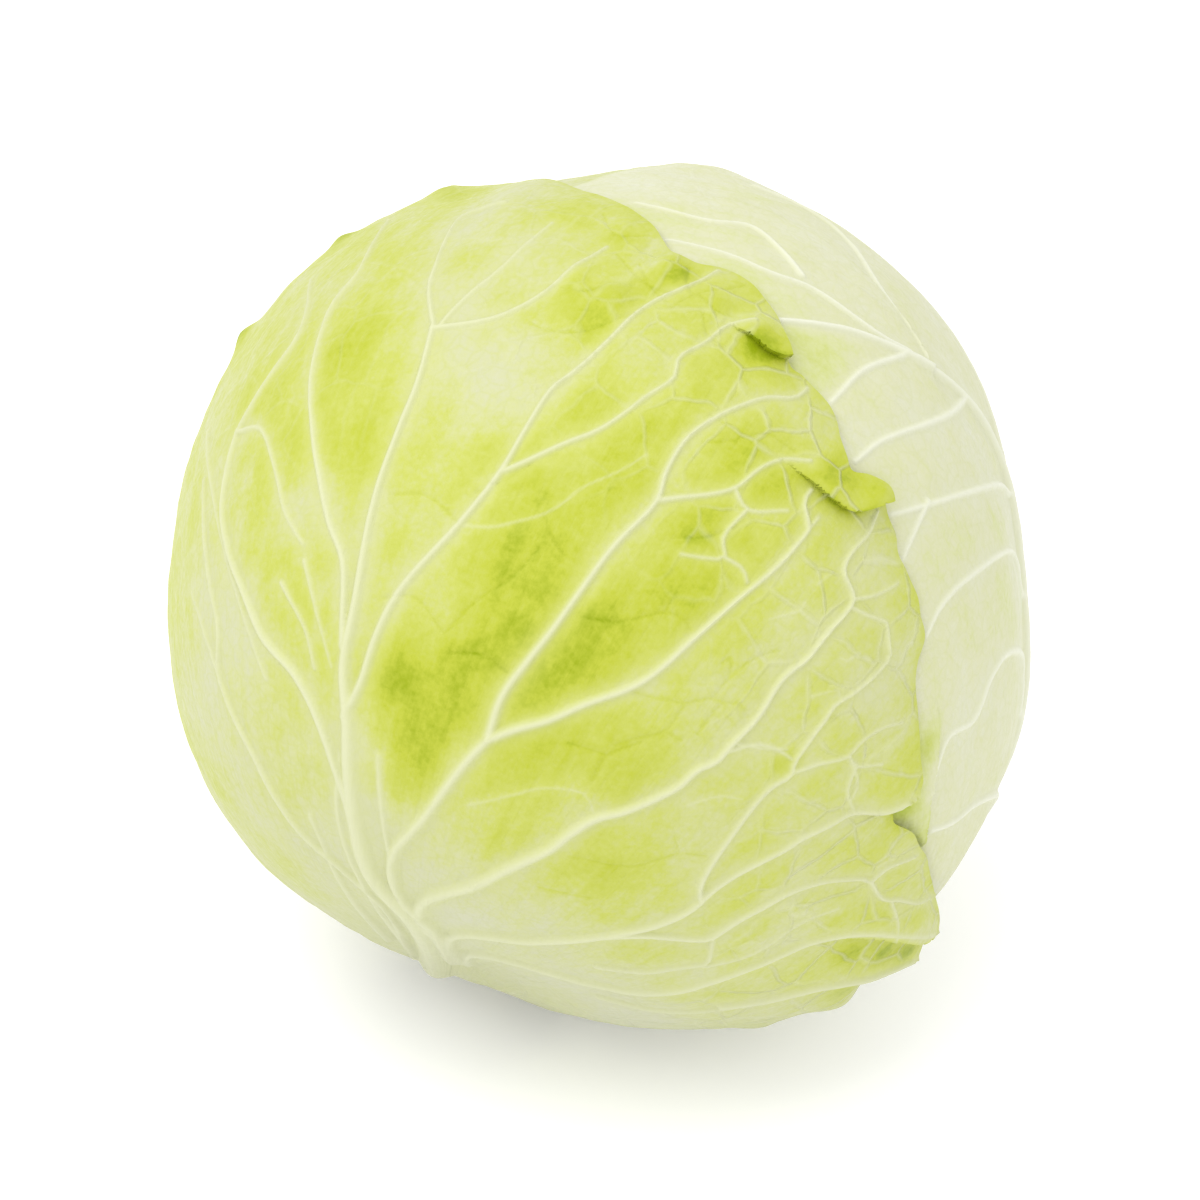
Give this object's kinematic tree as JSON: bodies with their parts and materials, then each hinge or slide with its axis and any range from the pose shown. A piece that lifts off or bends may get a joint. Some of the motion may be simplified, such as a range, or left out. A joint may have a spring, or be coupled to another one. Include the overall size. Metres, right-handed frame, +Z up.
{
  "type": "cabbage head",
  "caption": "Round head of white cabbage lying on its side, with overlapping ribbed wrapper leaves round a close-packed heart and a short cut stem.",
  "frame": {"origin": "middle of the flat spot on the underside that the head rests on", "axes": "+Z up as the head lies; -Y towards the viewer of the picture; the stem end points down, to -X and -Y, 27 degrees off straight down"},
  "size_m": [0.1892, 0.1857, 0.1846],
  "materials": {
    "heart_leaves": null,
    "stem_flesh": null,
    "leaf_inner": null,
    "leaf_outer": null
  },
  "bodies": {
    "root": {"heart": "heart_leaves", "stem": "stem_flesh", "leaf_back": "leaf_inner", "leaf_left": "leaf_outer", "leaf_right": "leaf_inner", "leaf_front": "leaf_outer"}
  },
  "joints": []
}
